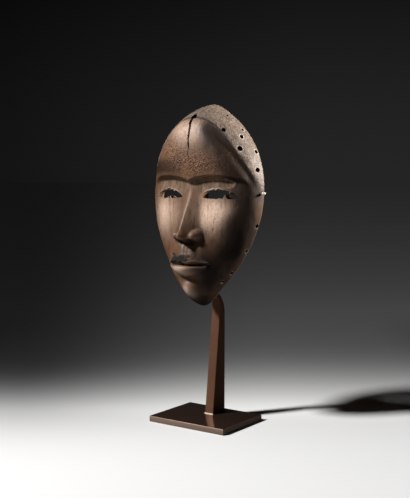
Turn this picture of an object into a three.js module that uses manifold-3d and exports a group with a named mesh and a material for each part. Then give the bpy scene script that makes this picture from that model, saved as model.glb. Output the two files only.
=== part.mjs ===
import * as THREE from 'three';
import { mergeVertices } from 'three/addons/utils/BufferGeometryUtils.js';
import Module from 'manifold-3d';

// Millimetres, +Z up. The origin is the middle of the base plate's underside and the mask faces -Y.

// Stand
const PLATE_WIDTH = 100;
const PLATE_DEPTH = 77;
const PLATE_THICK = 6.5;
const PLATE_EDGE = 0.4;
const JOINT_GAP = 0.3;
const BAR_WIDTH = 11;
const BAR_THICK = 6.5;
const POST_INSET = 8.5;
const POST_FOOT_DEPTH = 23.5;
const POST_NECK_DEPTH = 9.2;
const ARM_TOP_Z = 144.8;
const BEND_REACH = 20.5;
const BEND_DROP = 26.8;
const BEND_INNER = 8.5;
const BEND_INNER_DROP = 11.3;
const ARM_REACH = 27;
const RISE_INNER = 5;

// Mask: its size, its walls and how it sits on the stand
const MASK_HEIGHT = 224;
const MASK_HALF_WIDTH = 71;
const MASK_DEPTH = 47;
const WALL = 9;
const RIM_WIDTH = 8;
const CHIN_WALL = 5;
const MASK_LEAN = THREE.MathUtils.degToRad(5.1);
const MASK_SIDE_SHIFT = 1;
const RISER_SUNK = 4.5;
const CHIN_CLEARANCE = 2.3;
const HANG_GAP = 0.5;

// Fineness of the faceted face and hollow
const ROWS = 60;
const COLUMNS = 40;
const HOLLOW_ROWS = 28;
const HOLLOW_COLUMNS = 14;

// The face is drawn on a block of this size and stretched to the mask: x to the right of the middle,
// z up from the chin, depth forward from the rim plane
const DRAWN = { height: 224, half: 71, depth: 47 };
const OUTLINE = { widestZ: 122, upper: [2.2, 0.75], lower: [2, 0.95], crownRound: 3, chinRound: 10 };
const PROFILE = { faceDepth: 36, swell: [95, 172], chin: [60, 3.2, 0.62], crown: [170, 3, 0.8] };
const CROSS_POWER = { low: 1.75, high: 2.1, from: 60, to: 150 };
const RELIEF_EDGE = 0.86;
const BROW = { z: 137, arch: 4, middleX: 32, halfSpan: 28, sink: 7, ledge: 6, fade: 24, sideX: [70, 40] };
const EYE = { x: 33, half: 21, z: 118, rise: 9, drop: 1.5 };
const NOSE = { rootZ: 130, tipZ: 76, baseZ: 69.5, rootOut: 3, tipOut: 19, rootHalf: 7, tipHalf: 13.5 };
const NOSE_WING = { x: 11, z: 76.5, out: 11.5, reach: [8, 9] };
const NOSE_BALL = { x: 0, z: 76.5, out: 20, reach: [9.5, 10.5] };
const LIPS = { z: 45, curve: 0.0015, half: 26, lowerHalf: 24, upper: 11, lower: 12.5, gap: 3.5, gapHigh: 1.5 };
const LIPS_OUT = { upper: 8.5, lower: 8.5, bow: 1.6, bowHalf: 4.5, rolledIn: 0.2 };
const FURROW = { half: 3.2, depth: 1.8 };
const EYELID = { x: 33, z: 122, out: 3.2, reach: [19, 8.5] };
const MUZZLE = { x: 0, z: 50, out: 7, reach: [30, 24] };
const CHIN = { x: 0, z: 17, out: 4.5, reach: [15, 10] };
const CHIN_FOLD = { x: 0, z: 30, out: -3, reach: [18, 5] };
const CHEEKBONE = { x: 37, z: 98, out: 3, reach: [19, 20] };
const CHEEK_HOLLOW = { x: 40, z: 58, out: -2.5, reach: [16, 18] };
const MOUNDS = [EYELID, MUZZLE, CHIN, CHIN_FOLD, CHEEKBONE, CHEEK_HOLLOW];
const EYE_ROOM = { x: 34, z: 131, depth: 3.5, reach: [20, 13] };

// Hairline band, split and drilled holes on the drawn face; a hole's place is its share of the half width
// and of the height
const BAND_TOP_Z = 204;
const BAND_CURVE = 0.0144;
const BAND_STEP = 1.2;
const VALLEY = { below: 7, reach: 6.5, depth: 2, sideX: [10, 32] };
const GROOVE_WIDTH = 1.7;
const GROOVE_DEPTH = 1.1;
const SPLIT = { topZ: 202, endZ: 150, topWidth: 3.2, endWidth: 0.3, depth: 6, sway: 0.35 };
const CROWN_HOLE = { across: -0.057, up: 0.9085, radius: 2.9 };
const CROWN_HOLE_RISE = THREE.MathUtils.degToRad(12);
const CROWN_HOLE_REACH = 28;
const RIM_HOLES = [
  { across: 0.741, up: 0.851, radius: 2.3 },
  { across: 0.931, up: 0.933, radius: 1.3 },
  { across: 0.984, up: 0.862, radius: 2 },
  { across: 0.938, up: 0.823, radius: 2.5 },
  { across: 0.87, up: 0.763, radius: 3.1 },
  { across: 0.995, up: 0.756, radius: 2.4 },
  { across: 0.98, up: 0.668, radius: 2.9 },
  { across: 0.995, up: 0.402, radius: 2.2 },
  { across: 0.994, up: 0.281, radius: 2 },
  { across: 0.984, up: 0.171, radius: 2 },
  { across: 0.955, up: 0.126, radius: 1.9 },
];
const HIDDEN_SIDE_HOLES = [1, 2, 4, 6, 7, 8, 10];
const DRILL_BEYOND = 6;

// Peg in the right edge
const PEG_Z = 125;
const PEG_DEPTH = 5;
const PEG_RADIUS = 1.7;
const PEG_CLEARANCE = 0.3;
const PEG_OUT = 4.5;
const PEG_IN = 4;

// Places that follow from the sizes above
const POST_BACK = PLATE_DEPTH / 2 - POST_INSET;
const ARM_UNDER_Z = ARM_TOP_Z - BAR_THICK;
const RISE_OUTER = RISE_INNER + BAR_THICK;
const RISE_CENTRE_Y = POST_BACK - ARM_REACH;
const MASK_PLACE = [
  MASK_SIDE_SHIFT,
  RISE_CENTRE_Y - RISE_OUTER + RISER_SUNK,
  ARM_UNDER_Z - CHIN_WALL - CHIN_CLEARANCE,
];
const STRETCH = {
  x: MASK_HALF_WIDTH / DRAWN.half,
  y: MASK_DEPTH / DRAWN.depth,
  z: MASK_HEIGHT / DRAWN.height,
};

const clamp = THREE.MathUtils.clamp;

function smoothstep(a, b, v) {
  const t = clamp((v - a) / (b - a), 0, 1);
  return t * t * (3 - 2 * t);
}

function bell(v, reach) {
  return Math.exp(-((v / reach) ** 2));
}

function blendMax(a, b, k) {
  const h = clamp(0.5 + (0.5 * (a - b)) / k, 0, 1);
  return b * (1 - h) + a * h + k * h * (1 - h);
}

// Half the drawn outline's width at a height, rounded off at the crown and the chin
function halfWidth(z) {
  const above = z >= OUTLINE.widestZ;
  const span = above ? DRAWN.height - OUTLINE.widestZ : OUTLINE.widestZ;
  const share = clamp(Math.abs(z - OUTLINE.widestZ) / span, 0, 1);
  const [inner, outer] = above ? OUTLINE.upper : OUTLINE.lower;
  const w = DRAWN.half * (1 - share ** inner) ** outer;
  const top = clamp(DRAWN.height - z, 0, DRAWN.height);
  const bottom = clamp(z, 0, DRAWN.height);
  const round =
    2 * OUTLINE.crownRound * top * Math.exp(-top / OUTLINE.crownRound) +
    2 * OUTLINE.chinRound * bottom * Math.exp(-bottom / OUTLINE.chinRound);
  return Math.sqrt(w * w + round);
}

// How far the bare form stands over the rim plane on the middle line
function depthAt(z) {
  const [chinZ, chinInner, chinOuter] = PROFILE.chin;
  const [crownZ, crownInner, crownOuter] = PROFILE.crown;
  const body = PROFILE.faceDepth + (DRAWN.depth - PROFILE.faceDepth) * smoothstep(...PROFILE.swell, z);
  const chinIn = clamp(1 - z / chinZ, 0, 1);
  const crownIn = clamp((z - crownZ) / (DRAWN.height - crownZ), 0, 1);
  return body * (1 - chinIn ** chinInner) ** chinOuter * (1 - crownIn ** crownInner) ** crownOuter;
}

function mound(x, z, at) {
  return at.out * bell(Math.abs(x) - at.x, at.reach[0]) * bell(z - at.z, at.reach[1]);
}

function dome(x, z, at) {
  return at.out * (1 - ((Math.abs(x) - at.x) / at.reach[0]) ** 2 - ((z - at.z) / at.reach[1]) ** 2);
}

function nose(x, z) {
  const ax = Math.abs(x);
  const down = clamp((NOSE.rootZ - z) / (NOSE.rootZ - NOSE.tipZ), 0, 1.2);
  const out = NOSE.rootOut + (NOSE.tipOut - NOSE.rootOut) * down ** 1.1;
  const half = NOSE.rootHalf + (NOSE.tipHalf - NOSE.rootHalf) * down ** 1.3;
  const bridge = out * (1 - (Math.sqrt(ax * ax + 4) - 2) / half);
  const winged = blendMax(bridge, dome(x, z, NOSE_WING), 3);
  const form = blendMax(blendMax(winged, dome(x, z, NOSE_BALL), 3.5), 0, 2.5);
  const under = smoothstep(NOSE.baseZ - 1.8, NOSE.baseZ + 3.2, z - 0.1 * ax);
  return form * under * smoothstep(NOSE.rootZ + 10, NOSE.rootZ - 2, z);
}

// A lip's fullness from the parting line, 0, to its outer border, 1
function lipRoll(share) {
  const rolledIn = LIPS_OUT.rolledIn;
  return Math.sin(Math.PI * (rolledIn + (1 - rolledIn) * clamp(share, 0, 1))) ** 0.75;
}

function lips(x, z) {
  const across = clamp(1 - (x / LIPS.half) ** 2, 0, 1);
  const lowerAcross = clamp(1 - (x / LIPS.lowerHalf) ** 2, 0, 1);
  const over = z - (LIPS.z + LIPS.curve * x * x);
  const upperHigh = Math.max(LIPS.upper * across ** 0.55 - LIPS_OUT.bow * bell(x, LIPS_OUT.bowHalf), 0.3);
  const lowerHigh = Math.max(LIPS.lower * lowerAcross ** 0.6, 0.3);
  const upper = LIPS_OUT.upper * lipRoll(over / upperHigh);
  const lower = LIPS_OUT.lower * lipRoll(-over / lowerHigh);
  const full = over >= 0 ? upper : lower;
  return full * across ** 0.6 - LIPS.gap * bell(over, LIPS.gapHigh) * across ** 0.4;
}

function furrow(x, z) {
  const fromLip = smoothstep(LIPS.z + LIPS.upper - 2, LIPS.z + LIPS.upper + 2, z);
  return -FURROW.depth * bell(x, FURROW.half) * fromLip * smoothstep(NOSE.baseZ + 1, NOSE.baseZ - 3, z);
}

// The sunk ground under each brow
function browSink(x, z) {
  const ax = Math.abs(x);
  const below = BROW.z + BROW.arch * (1 - ((ax - BROW.middleX) / BROW.halfSpan) ** 2) - z;
  const sunk = smoothstep(-1.5, BROW.ledge - 1, below) * bell(Math.max(below - BROW.ledge, 0), BROW.fade);
  return -BROW.sink * sunk * smoothstep(...BROW.sideX, ax);
}

function hairlineAt(x) {
  return BAND_TOP_Z - BAND_CURVE * x * x;
}

// The shallow valley that runs beside the hairline down each temple
function valley(x, z) {
  const below = hairlineAt(x) - z;
  return -VALLEY.depth * bell(below - VALLEY.below, VALLEY.reach) * smoothstep(...VALLEY.sideX, Math.abs(x));
}

function bulge(u, z) {
  const power = CROSS_POWER.low + (CROSS_POWER.high - CROSS_POWER.low) *
    smoothstep(CROSS_POWER.from, CROSS_POWER.to, z);
  return Math.sqrt(Math.max(1 - Math.abs(u) ** power, 0));
}

// Drawn depth of the outer face at a share of the half width
function faceDepth(u, z) {
  const x = halfWidth(z) * u;
  const mounds = MOUNDS.reduce((sum, at) => sum + mound(x, z, at), 0);
  const relief = nose(x, z) + lips(x, z) + furrow(x, z) + browSink(x, z) + valley(x, z) + mounds;
  return depthAt(z) * bulge(u, z) + relief * smoothstep(1, RELIEF_EDGE, Math.abs(u)) * smoothstep(0, 6, z);
}

// A place on the outer face, in the upright mask's millimetres
function facePoint(u, z) {
  return new THREE.Vector3(
    halfWidth(z) * u * STRETCH.x,
    -faceDepth(u, z) * STRETCH.y,
    z * STRETCH.z,
  );
}

// A place on the hollow's roof, with room kept over the sunk eyes
function hollowPoint(u, z) {
  const deep = depthAt(z) * STRETCH.y;
  const roof = deep - WALL * (1 - Math.exp(-deep / WALL));
  const x = halfWidth(z) * u;
  const room = EYE_ROOM.depth * bell(Math.abs(x) - EYE_ROOM.x, EYE_ROOM.reach[0]) *
    bell(z - EYE_ROOM.z, EYE_ROOM.reach[1]) * smoothstep(1, 0.8, Math.abs(u));
  return new THREE.Vector3(
    x * STRETCH.x * (1 - RIM_WIDTH / MASK_HALF_WIDTH),
    -Math.max(roof * bulge(u, z) - room, 0),
    CHIN_WALL + z * STRETCH.z * (1 - (CHIN_WALL + WALL) / MASK_HEIGHT),
  );
}

// Heights of rows at equal distances along the middle line
function rowHeights(rows) {
  const samples = 400;
  const points = [];
  for (let i = 0; i <= samples; i += 1) {
    const z = (DRAWN.height * (1 - Math.cos((Math.PI * i) / samples))) / 2;
    points.push(new THREE.Vector2(z, depthAt(z)));
  }
  const path = new THREE.Path(points);
  path.arcLengthDivisions = 1;
  return path.getSpacedPoints(rows).map((point) => point.x);
}

// Shares of the half width, closer together over the nose and mouth
function columnShares(columns) {
  const shares = [];
  for (let j = 0; j <= columns; j += 1) {
    const t = (2 * j) / columns - 1;
    shares.push(Math.sin((t * 0.65 + t ** 3 * 0.35) * (Math.PI / 2)));
  }
  return shares;
}

// A closed solid through loops of points, each loop with the same count; a loop may be one point
function loft(loops) {
  const count = loops[0].length;
  const positions = loops.flat().flatMap((point) => [point.x, point.y, point.z]);
  const indices = [];
  for (let i = 0; i < loops.length - 1; i += 1) {
    for (let j = 0; j < count; j += 1) {
      const a = i * count + j;
      const b = i * count + ((j + 1) % count);
      indices.push(a, b, b + count, a, b + count, a + count);
    }
  }
  const last = (loops.length - 1) * count;
  for (let j = 1; j < count - 1; j += 1) {
    indices.push(0, j + 1, j, last, last + j, last + j + 1);
  }
  const geometry = new THREE.BufferGeometry();
  geometry.setAttribute('position', new THREE.Float32BufferAttribute(positions, 3));
  geometry.setIndex(indices);
  return geometry;
}

const wasm = await Module();
wasm.setup();

function turned(mesh) {
  const flipped = Uint32Array.from(mesh.triVerts);
  for (let i = 0; i < flipped.length; i += 3) {
    [flipped[i + 1], flipped[i + 2]] = [flipped[i + 2], flipped[i + 1]];
  }
  return new wasm.Mesh({ numProp: 3, vertProperties: mesh.vertProperties, triVerts: flipped });
}

// A solid for cutting and joining, with its faces turned outwards
function solid(geometry) {
  const bare = new THREE.BufferGeometry();
  bare.setAttribute('position', geometry.getAttribute('position').clone());
  bare.setIndex(geometry.getIndex());
  const merged = mergeVertices(bare, 1e-4);
  const index = merged.getIndex().array;
  const kept = [];
  for (let i = 0; i < index.length; i += 3) {
    const [a, b, c] = [index[i], index[i + 1], index[i + 2]];
    if (a !== b && b !== c && a !== c) {
      kept.push(a, b, c);
    }
  }
  const mesh = new wasm.Mesh({
    numProp: 3,
    vertProperties: new Float32Array(merged.getAttribute('position').array),
    triVerts: new Uint32Array(kept),
  });
  const made = new wasm.Manifold(mesh);
  return made.volume() < 0 ? new wasm.Manifold(turned(mesh)) : made;
}

function toGeometry(manifold) {
  const mesh = manifold.getMesh();
  const geometry = new THREE.BufferGeometry();
  geometry.setAttribute('position', new THREE.BufferAttribute(Float32Array.from(mesh.vertProperties), 3));
  geometry.setIndex(new THREE.BufferAttribute(Uint32Array.from(mesh.triVerts), 1));
  geometry.computeVertexNormals();
  return geometry;
}

// Outward direction of the outer face
function faceNormal(u, z) {
  const du = u > 0 ? -0.01 : 0.01;
  const dz = z > DRAWN.height / 2 ? -0.2 : 0.2;
  const here = facePoint(u, z);
  const across = facePoint(u + du, z).sub(here);
  const upward = facePoint(u, z + dz).sub(here);
  return across.cross(upward).multiplyScalar(Math.sign(du) * Math.sign(dz)).normalize();
}

// The outer form closed by the rim plane, set in by a distance along its normals
function outerForm(inset) {
  const loops = rowHeights(ROWS).map((z, i) => {
    if (i === 0 || i === ROWS) {
      const end = new THREE.Vector3(0, 0, z * STRETCH.z + (i === 0 ? inset : -inset));
      return columnShares(COLUMNS).map(() => end.clone());
    }
    return columnShares(COLUMNS).map((u) => {
      const point = facePoint(u, z);
      if (inset > 0) {
        point.addScaledVector(faceNormal(u, z), -inset);
      }
      if (Math.abs(u) > 0.9999) {
        point.y = 0;
      }
      return point;
    });
  });
  return solid(loft(loops));
}

// The hollow, carried on behind the rim plane so that it opens the back
function hollowForm() {
  const heights = rowHeights(HOLLOW_ROWS);
  const blunt = 0.4;
  heights[0] = blunt;
  heights[HOLLOW_ROWS] = DRAWN.height - blunt;
  const loops = heights.map((z) => {
    const roof = columnShares(HOLLOW_COLUMNS).map((u) => hollowPoint(u, z));
    const behind = [roof[0].clone(), roof[HOLLOW_COLUMNS].clone()];
    behind.forEach((point) => {
      point.y = WALL;
    });
    return [behind[0], ...roof, behind[1]];
  });
  return solid(loft(loops));
}

// Points along the hairline, raised by a distance
function hairline(raise) {
  const steps = 24;
  const reach = DRAWN.half * 1.1;
  const points = [];
  for (let i = 0; i <= steps; i += 1) {
    const x = -reach + (2 * reach * i) / steps;
    points.push(new THREE.Vector2(x * STRETCH.x, hairlineAt(x) * STRETCH.z + raise));
  }
  return points;
}

// A block right through the mask between two outlines that run from left to right
function throughBlock(upper, lower) {
  const block = new THREE.ExtrudeGeometry(new THREE.Shape([...upper, ...lower.reverse()]), {
    depth: 2 * MASK_DEPTH,
    bevelEnabled: false,
  });
  block.translate(0, 0, -WALL);
  block.rotateX(Math.PI / 2);
  return solid(block);
}

function belowHairline() {
  const line = hairline(0);
  const ground = [line[0].clone(), line[line.length - 1].clone()];
  ground.forEach((point) => {
    point.y = -WALL;
  });
  return throughBlock(line, ground);
}

function eyeCutter(side) {
  const half = EYE.half * STRETCH.x;
  const corner = half * 0.62;
  const rise = (EYE.rise * STRETCH.z) / 0.75;
  const drop = (EYE.drop * STRETCH.z) / 0.75;
  const shape = new THREE.Shape();
  shape.moveTo(-half, 0);
  shape.bezierCurveTo(-corner, rise, corner, rise, half, 0);
  shape.bezierCurveTo(corner, -drop, -corner, -drop, -half, 0);
  const cutter = new THREE.ExtrudeGeometry(shape, {
    depth: 2 * MASK_DEPTH,
    bevelEnabled: false,
    curveSegments: 9,
  });
  cutter.rotateX(Math.PI / 2);
  cutter.translate(side * EYE.x * STRETCH.x, -WALL / 2, EYE.z * STRETCH.z);
  return solid(cutter);
}

// A blade that widens towards the crown and follows the forehead at the split's depth
function splitCutter() {
  const steps = 9;
  const loops = [];
  for (let i = 0; i <= steps; i += 1) {
    const share = i / steps;
    const at = facePoint(0, SPLIT.endZ + (SPLIT.topZ - SPLIT.endZ) * share);
    const half = (SPLIT.endWidth + (SPLIT.topWidth - SPLIT.endWidth) * share) / 2;
    const floor = at.y + SPLIT.depth * (0.25 + 0.75 * share);
    const x = 4 * SPLIT.sway - 8 * SPLIT.sway * share ** 4 + SPLIT.sway * Math.sin(i * 2.1);
    const shoulder = floor - SPLIT.depth / 2;
    const outside = -2 * MASK_DEPTH;
    loops.push([
      new THREE.Vector3(x, floor, at.z),
      new THREE.Vector3(x + half, shoulder, at.z),
      new THREE.Vector3(x + half, outside, at.z),
      new THREE.Vector3(x - half, outside, at.z),
      new THREE.Vector3(x - half, shoulder, at.z),
    ]);
  }
  return solid(loft(loops));
}

// A hole drilled along a direction, with its middle on the face
function drill(hole, u, axis, reach) {
  const cylinder = new THREE.CylinderGeometry(hole.radius, hole.radius, 2 * reach, 8);
  const upward = new THREE.Vector3(0, 1, 0);
  cylinder.applyQuaternion(new THREE.Quaternion().setFromUnitVectors(upward, axis));
  const at = facePoint(u, hole.up * DRAWN.height);
  cylinder.translate(at.x, at.y, at.z);
  return solid(cylinder);
}

// The crown's hole runs nearly level, from front to back
function crownDrill() {
  const axis = new THREE.Vector3(0, -Math.cos(CROWN_HOLE_RISE), Math.sin(CROWN_HOLE_RISE));
  return drill(CROWN_HOLE, CROWN_HOLE.across, axis, CROWN_HOLE_REACH);
}

// A hole of the rim, drilled square to the face
function rimDrill(hole, side) {
  const u = side * hole.across;
  return drill(hole, u, faceNormal(u, hole.up * DRAWN.height), WALL + DRILL_BEYOND);
}

// Where the mask's side passes the peg
function pegSurfaceX() {
  let u = 0.9;
  while (u < 1 && faceDepth(u, PEG_Z) * STRETCH.y > PEG_DEPTH) {
    u += 0.001;
  }
  return halfWidth(PEG_Z) * u * STRETCH.x;
}

function pegCylinder(radius, from, to) {
  const cylinder = new THREE.CylinderGeometry(radius, radius, to - from, 14);
  cylinder.rotateZ(Math.PI / 2);
  cylinder.translate((from + to) / 2, -PEG_DEPTH, PEG_Z * STRETCH.z);
  return cylinder;
}

function placeMask(geometry) {
  geometry.rotateX(-MASK_LEAN);
  geometry.translate(...MASK_PLACE);
  return geometry;
}

function maskGeometry() {
  const face = outerForm(0).intersect(belowHairline());
  const grooveFloor = outerForm(BAND_STEP + GROOVE_DEPTH);
  const strip = throughBlock(hairline(GROOVE_WIDTH / 2), hairline(-GROOVE_WIDTH / 2));
  let form = outerForm(BAND_STEP).add(face).subtract(strip.subtract(grooveFloor));
  form = form.subtract(hollowForm());
  form = form.subtract(eyeCutter(-1)).subtract(eyeCutter(1)).subtract(splitCutter());
  form = form.subtract(crownDrill());
  for (const hole of RIM_HOLES) {
    form = form.subtract(rimDrill(hole, 1));
  }
  for (const number of HIDDEN_SIDE_HOLES) {
    form = form.subtract(rimDrill(RIM_HOLES[number], -1));
  }
  const surface = pegSurfaceX();
  const seatEnd = surface - PEG_IN - PEG_CLEARANCE;
  form = form.subtract(solid(pegCylinder(PEG_RADIUS + PEG_CLEARANCE, seatEnd, surface + PEG_OUT)));
  const bySize = form.decompose().sort((a, b) => b.volume() - a.volume());
  return placeMask(toGeometry(bySize[0]));
}

function pegGeometry() {
  const surface = pegSurfaceX();
  return placeMask(pegCylinder(PEG_RADIUS, surface - PEG_IN, surface + PEG_OUT));
}

function plateGeometry() {
  const x = PLATE_WIDTH / 2 - PLATE_EDGE;
  const y = PLATE_DEPTH / 2 - PLATE_EDGE;
  const corners = [[-x, -y], [x, -y], [x, y], [-x, y]].map((corner) => new THREE.Vector2(...corner));
  const plate = new THREE.ExtrudeGeometry(new THREE.Shape(corners), {
    depth: PLATE_THICK - 2 * PLATE_EDGE,
    bevelThickness: PLATE_EDGE,
    bevelSize: PLATE_EDGE,
    bevelSegments: 1,
  });
  plate.translate(0, 0, PLATE_EDGE);
  return plate;
}

// The highest centre of the riser's round tip that keeps its gap to the hollow's roof
function tipCentreZ(tipY) {
  const reach = BAR_THICK / 2 + HANG_GAP;
  let lowest = Infinity;
  for (let z = DRAWN.height * 0.6; z < DRAWN.height; z += 0.25) {
    const half = hollowPoint(1, z).x;
    for (const x of [-1, -0.5, 0, 0.5, 1]) {
      const u = clamp(((x * BAR_WIDTH) / 2 - MASK_SIDE_SHIFT) / half, -1, 1);
      const roof = hollowPoint(u, z).applyAxisAngle(new THREE.Vector3(1, 0, 0), -MASK_LEAN);
      const across = roof.y + MASK_PLACE[1] - tipY;
      if (Math.abs(across) < reach) {
        lowest = Math.min(lowest, roof.z + MASK_PLACE[2] - Math.sqrt(reach * reach - across * across));
      }
    }
  }
  return lowest;
}

// Side outline of the bar: the tapering post, the bend, the arm and the riser inside the mask
function postGeometry() {
  const foot = PLATE_THICK + JOINT_GAP;
  const neckFront = POST_BACK - POST_NECK_DEPTH;
  const neckZ = ARM_UNDER_Z - BEND_INNER_DROP;
  const bendCentreY = neckFront - BEND_INNER;
  const bendStartZ = ARM_TOP_Z - BEND_DROP;
  const riseCentreZ = ARM_UNDER_Z + RISE_OUTER;
  const tipY = RISE_CENTRE_Y - RISE_INNER - BAR_THICK / 2;
  const quarter = Math.PI / 2;
  const shape = new THREE.Shape();
  shape.moveTo(POST_BACK - POST_FOOT_DEPTH, foot);
  shape.lineTo(neckFront, neckZ);
  shape.absellipse(bendCentreY, neckZ, BEND_INNER, BEND_INNER_DROP, 0, quarter, false, 0);
  shape.absarc(RISE_CENTRE_Y, riseCentreZ, RISE_OUTER, -quarter, -Math.PI, true);
  shape.absarc(tipY, tipCentreZ(tipY), BAR_THICK / 2, Math.PI, 0, true);
  shape.absarc(RISE_CENTRE_Y, riseCentreZ, RISE_INNER, Math.PI, 3 * quarter, false);
  shape.absellipse(POST_BACK - BEND_REACH, bendStartZ, BEND_REACH, BEND_DROP, quarter, 0, true, 0);
  shape.lineTo(POST_BACK, foot);
  const bar = new THREE.ExtrudeGeometry(shape, { depth: BAR_WIDTH, bevelEnabled: false, curveSegments: 9 });
  bar.translate(0, 0, -BAR_WIDTH / 2);
  bar.rotateX(quarter);
  bar.rotateZ(quarter);
  return bar;
}

const wood = new THREE.MeshStandardMaterial({ color: 0x3d2a1f, roughness: 0.5, metalness: 0 });
const paleWood = new THREE.MeshStandardMaterial({ color: 0xb9ab94, roughness: 0.8, metalness: 0 });
const steel = new THREE.MeshStandardMaterial({ color: 0x3a2a20, roughness: 0.45, metalness: 0.3 });

function named(name, geometry, material) {
  const mesh = new THREE.Mesh(geometry, material);
  mesh.name = name;
  return mesh;
}

const maskOnStand = new THREE.Group();
maskOnStand.add(named('mask', maskGeometry(), wood));
maskOnStand.add(named('rim_peg', pegGeometry(), paleWood));
maskOnStand.add(named('stand_post', postGeometry(), steel));
maskOnStand.add(named('stand_base', plateGeometry(), steel));

export default maskOnStand;
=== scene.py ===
"""A carved wooden face mask on a bronzed steel stand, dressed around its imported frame."""

import math

import bmesh
import bpy
import numpy as np
from mathutils import Matrix, Vector


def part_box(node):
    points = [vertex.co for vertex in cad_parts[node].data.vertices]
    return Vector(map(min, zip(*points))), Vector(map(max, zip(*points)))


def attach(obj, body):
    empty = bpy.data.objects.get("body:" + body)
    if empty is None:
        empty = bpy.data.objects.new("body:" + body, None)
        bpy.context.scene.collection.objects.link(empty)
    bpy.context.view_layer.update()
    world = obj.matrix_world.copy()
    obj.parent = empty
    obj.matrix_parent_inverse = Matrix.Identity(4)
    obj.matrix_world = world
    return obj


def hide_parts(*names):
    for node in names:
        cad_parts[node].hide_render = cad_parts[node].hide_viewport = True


MM = 0.001
TO_METRES = Matrix.Scale(MM, 4)

# Camera, at the photograph's viewing angle, in metres; CAMERA_AWAY is its distance from the origin
CAMERA_PLACE = (0.6058, -0.8540, 0.2817)
CAMERA_TURN = math.radians(35.39)
CAMERA_TILT = math.radians(4.81)
CAMERA_LENS = 68.67
CAMERA_AWAY = 1.05

# Lights: place and aim in metres, size, watts, colour
KEY_LIGHT = ((-1.498, -2.139, 2.376), (0, 0, 0.2), 0.47, 218, (1.0, 0.995, 0.985))
RIM_LIGHT = ((0.97, 0.81, 0.67), (0.03, 0, 0.28), 0.3, 68, (1.0, 0.94, 0.87))

# Room: the bearings between which it lightens from left to right, and its light on those two sides
ROOM_SIDES = (-0.2, 0.1)
ROOM_LIGHT = (0.007, 0.0178)
ROOM_DARKENS_UP = (-0.03, 0.3)
ROOM_TOP_SHARE = 0.12

# Paper floor, its colour a painted pool of key light that falls off into the room, and its emission
# painted light further back: distances in metres away from the camera, pairs for the left and the
# right side
FLOOR_HALF = 14.0
PAPER_SHADE = 0.83
PAPER_START = -0.217
PAPER_REACH = (0.281, 0.361)
PAPER_REACH_POWER = 0.69
PAPER_FALL_POWER = 2.9
PAPER_LIGHT = 0.895
PAINTED_HAZE = (0.006, 0.0157)
PAINTED_HAZE_PEAK = (0.0041, 0.0321)
PAINTED_HAZE_PLACE = 0.046
PAINTED_HAZE_SOFTNESS = 0.0014
PAINTED_GLOW_FROM = (0.3, 0.9)
NEAR_EDGE = (-0.55, -0.28)
SIDE_EDGE = (0.5, 0.27)
EDGE_SHARE = 0.1

# Stand sizes, in millimetres
BAR_WIDTH = 11.0
BAR_THICK = 6.5
BAR_EDGE = 0.55
POST_FOOT_DEPTH = 23.5
POST_NECK_DEPTH = 9.2
ARM_TOP_Z = 144.8
BEND_REACH = 20.5
BEND_DROP = 26.8
BEND_INNER = 8.5
BEND_INNER_DROP = 11.3
ARM_REACH = 27.0
RISE_INNER = 5.0
PLATE_EDGE = 0.5
BEVEL_STEPS = 3
WELD_SIZE = 0.75
WELD_UNEVEN = 0.18
WELD_STEP = 0.9

# Mask: walls and place on the stand, in millimetres
WALL = 9.0
RIM_WIDTH = 8.0
CHIN_WALL = 5.0
MASK_LEAN = math.radians(5.1)
MASK_SIDE_SHIFT = 1.0
RISER_SUNK = 4.5
CHIN_CLEARANCE = 2.3

# Mask: the form, with x to the right, z up from the chin and depth forward from the rim plane
HEIGHT = 224.0
HALF_WIDTH = 71.0
DEPTH = 47.0
WIDEST_Z = 122.0
UPPER_POWERS = (2.2, 0.75)
LOWER_POWERS = (2.0, 0.95)
CROWN_ROUND = 3.0
CHIN_ROUND = 10.0
FACE_DEPTH = 36.0
SWELL = (95.0, 172.0)
CHIN_PROFILE = (60.0, 3.2, 0.62)
CROWN_PROFILE = (170.0, 3.0, 0.8)
BULGE_POWER = 1.75
BULGE_MORE = 0.35
BULGE_RISE = (60, 150)
BROW = {"z": 137, "arch": 4, "middle": 32, "half": 28, "sink": 7, "ledge": 6, "fade": 24}
BROW_ENDS = (70, 40)
EYE = {"x": 33, "half": 21, "z": 118, "rise": 9, "drop": 1.5}
NOSE = {"root": 130, "tip": 76, "base": 69.5, "ridge": 2}
NOSE_OUT = {"root": 3, "tip": 19, "power": 1.1}
NOSE_HALF = {"root": 7, "tip": 13.5, "power": 1.3}
NOSE_BLENDS = {"wing": 3, "ball": 3.5, "cheek": 2.5}
LIPS = {"z": 45, "curve": 0.0015, "half": 26, "lower_half": 24, "upper": 11, "lower": 12.5}
LIPS_LEAST = 0.3
LIPS_OUT = {"upper": 8.5, "lower": 8.5, "rolled_in": 0.2, "fullness": 0.75}
LIPS_GAP = {"deep": 3.5, "high": 1.5}
LIPS_BOW = {"deep": 1.6, "half": 4.5}
FURROW = {"deep": 1.8, "half": 3.2}

# Domes and mounds on both sides: place across and up, height, and reach across and up
NOSE_WING = (11, 76.5, 11.5, 8, 9)
NOSE_BALL = (0, 76.5, 20, 9.5, 10.5)
EYE_ROOM = (34, 131, 3.5, 20, 13)
MOUNDS = (
    (33, 122, 3.2, 19, 8.5),
    (0, 50, 7, 30, 24),
    (0, 17, 4.5, 15, 10),
    (0, 30, -3, 18, 5),
    (37, 98, 3, 19, 20),
    (40, 58, -2.5, 16, 18),
)

# Wood left in each eye opening: place across, half width, and length, above 0 where it points up
EYE_REMNANTS = {
    1: ((7.5, 1.3, 4.6), (11.5, 0.8, -3.2), (-3.0, 1.2, -1.5), (2.0, 1.0, 1.4)),
    -1: ((4.5, 1.1, 2.8), (-4.0, 1.4, -1.6), (0.5, 0.8, 1.5), (9.0, 0.8, -1.8)),
}

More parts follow.
